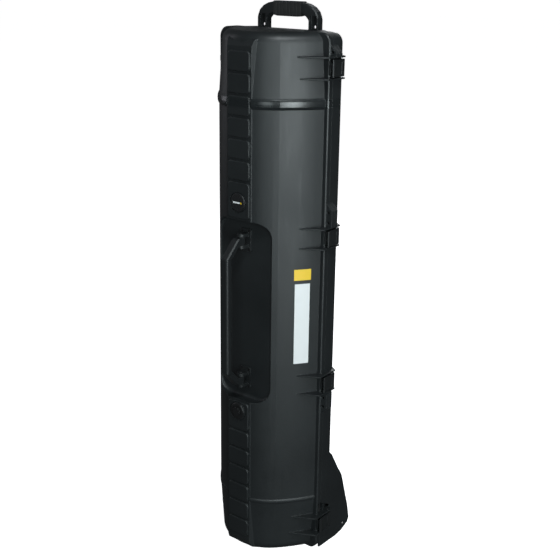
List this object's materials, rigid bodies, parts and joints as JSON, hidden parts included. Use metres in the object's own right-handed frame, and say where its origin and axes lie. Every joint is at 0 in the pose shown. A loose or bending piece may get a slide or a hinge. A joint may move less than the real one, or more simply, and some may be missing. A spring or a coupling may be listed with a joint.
{
  "type": "wheeled long hard case",
  "caption": "Long two-shell moulded hard case for rolled work and stands, with wheels, side latches, a folding carry handle and a folding pull handle.",
  "frame": {"origin": "on the standing plane at the wheel end, on the case's long middle line, 2 mm behind the plane where the rims meet", "axes": "+Z along the case towards the pull handle, -Y towards the lid and its carry handle, +X towards the latches"},
  "size_m": [0.3158, 0.2936, 1.214],
  "materials": {
    "case_plastic": "finely textured moulded polypropylene, charcoal",
    "handle_plastic": "textured moulded nylon, charcoal",
    "latch_plastic": "satin moulded nylon, black",
    "grip_rubber": "matt ribbed rubber",
    "gasket_rubber": "matt foam rubber cord",
    "tyre_rubber": "matt rubber tread",
    "wheel_plastic": "satin moulded nylon, dark grey",
    "steel": "brushed stainless steel",
    "foam": "open-cell foam, dark grey",
    "badge": "satin blank disc, black",
    "valve_plastic": "satin moulded nylon, black",
    "decal_white": "satin white vinyl film",
    "decal_yellow": "satin yellow vinyl film"
  },
  "bodies": {
    "base": {"base_shell": "case_plastic", "base_gasket": "gasket_rubber", "base_foam_upper": "foam", "base_foam_lower": "foam", "hinge_pins": "steel", "latch_pivot_pins": "steel", "pull_bracket_right": "handle_plastic", "pull_bracket_left": "handle_plastic", "pull_bracket_screws": "steel", "pull_handle_pins": "steel", "wheel_axles": "steel"},
    "lid": {"lid_shell": "case_plastic", "lid_foam_upper": "foam", "lid_foam_lower": "foam", "latch_strikes": "latch_plastic", "carry_bracket_upper": "handle_plastic", "carry_bracket_lower": "handle_plastic", "carry_bracket_screws": "steel", "carry_handle_pins": "steel", "badge_disc": "badge", "valve_body": "valve_plastic", "valve_nut": "valve_plastic", "side_stripe": "decal_white", "side_mark": "decal_yellow"},
    "carry_handle": {"carry_handle_frame": "handle_plastic", "carry_handle_grip": "grip_rubber"},
    "pull_handle": {"pull_handle_frame": "handle_plastic", "pull_handle_grip": "grip_rubber"},
    "left_wheel": {"left_wheel_hub": "wheel_plastic", "left_wheel_tyre": "tyre_rubber", "left_wheel_bush": "steel"},
    "right_wheel": {"right_wheel_hub": "wheel_plastic", "right_wheel_tyre": "tyre_rubber", "right_wheel_bush": "steel"},
    "valve_knob": {"valve_knob": "valve_plastic"},
    "latch_1": {"latch_lever_1": "latch_plastic", "claw_pin_1": "steel"},
    "claw_1": {"latch_claw_1": "latch_plastic"},
    "latch_2": {"latch_lever_2": "latch_plastic", "claw_pin_2": "steel"},
    "claw_2": {"latch_claw_2": "latch_plastic"},
    "latch_3": {"latch_lever_3": "latch_plastic", "claw_pin_3": "steel"},
    "claw_3": {"latch_claw_3": "latch_plastic"},
    "latch_4": {"latch_lever_4": "latch_plastic", "claw_pin_4": "steel"},
    "claw_4": {"latch_claw_4": "latch_plastic"}
  },
  "joints": [
    {"name": "lid_hinge", "type": "hinge", "parent": "base", "child": "lid", "pos_m": [-0.1508, 0.001, 0.58], "axis": [0, 0, -1], "range_deg": [0, 110]},
    {"name": "carry_handle_pivot", "type": "hinge", "parent": "lid", "child": "carry_handle", "pos_m": [0, -0.112, 0.575], "axis": [0, 0, 1], "range_deg": [-82, 82]},
    {"name": "pull_handle_pivot", "type": "hinge", "parent": "base", "child": "pull_handle", "pos_m": [0, 0.04, 1.148], "axis": [-1, 0, 0], "range_deg": [0, 88]},
    {"name": "left_wheel_spin", "type": "hinge", "parent": "base", "child": "left_wheel", "pos_m": [-0.114, 0.082, 0.047], "axis": [1, 0, 0], "continuous": true},
    {"name": "right_wheel_spin", "type": "hinge", "parent": "base", "child": "right_wheel", "pos_m": [0.114, 0.082, 0.047], "axis": [1, 0, 0], "continuous": true},
    {"name": "valve_turn", "type": "hinge", "parent": "lid", "child": "valve_knob", "pos_m": [0, -0.126, 0.345], "axis": [0, -1, 0], "range_deg": [0, 90]},
    {"name": "latch_pivot_1", "type": "hinge", "parent": "base", "child": "latch_1", "pos_m": [0.1498, 0.02, 0.0683], "axis": [0, 0, 1], "range_deg": [0, 95]},
    {"name": "claw_pivot_1", "type": "hinge", "parent": "latch_1", "child": "claw_1", "pos_m": [0.1495, 0.004, 0.0683], "axis": [0, 0, 1], "range_deg": [-76, 0]},
    {"name": "latch_pivot_2", "type": "hinge", "parent": "base", "child": "latch_2", "pos_m": [0.1498, 0.02, 0.4156], "axis": [0, 0, 1], "range_deg": [0, 95]},
    {"name": "claw_pivot_2", "type": "hinge", "parent": "latch_2", "child": "claw_2", "pos_m": [0.1495, 0.004, 0.4156], "axis": [0, 0, 1], "range_deg": [-76, 0]},
    {"name": "latch_pivot_3", "type": "hinge", "parent": "base", "child": "latch_3", "pos_m": [0.1498, 0.02, 0.7444], "axis": [0, 0, 1], "range_deg": [0, 95]},
    {"name": "claw_pivot_3", "type": "hinge", "parent": "latch_3", "child": "claw_3", "pos_m": [0.1495, 0.004, 0.7444], "axis": [0, 0, 1], "range_deg": [-76, 0]},
    {"name": "latch_pivot_4", "type": "hinge", "parent": "base", "child": "latch_4", "pos_m": [0.1498, 0.02, 1.0917], "axis": [0, 0, 1], "range_deg": [0, 95]},
    {"name": "claw_pivot_4", "type": "hinge", "parent": "latch_4", "child": "claw_4", "pos_m": [0.1495, 0.004, 1.0917], "axis": [0, 0, 1], "range_deg": [-76, 0]}
  ],
  "couplings": [
    {"joint": "claw_pivot_1", "follows": "latch_pivot_1", "ratio": -0.8},
    {"joint": "claw_pivot_2", "follows": "latch_pivot_2", "ratio": -0.8},
    {"joint": "claw_pivot_3", "follows": "latch_pivot_3", "ratio": -0.8},
    {"joint": "claw_pivot_4", "follows": "latch_pivot_4", "ratio": -0.8}
  ]
}
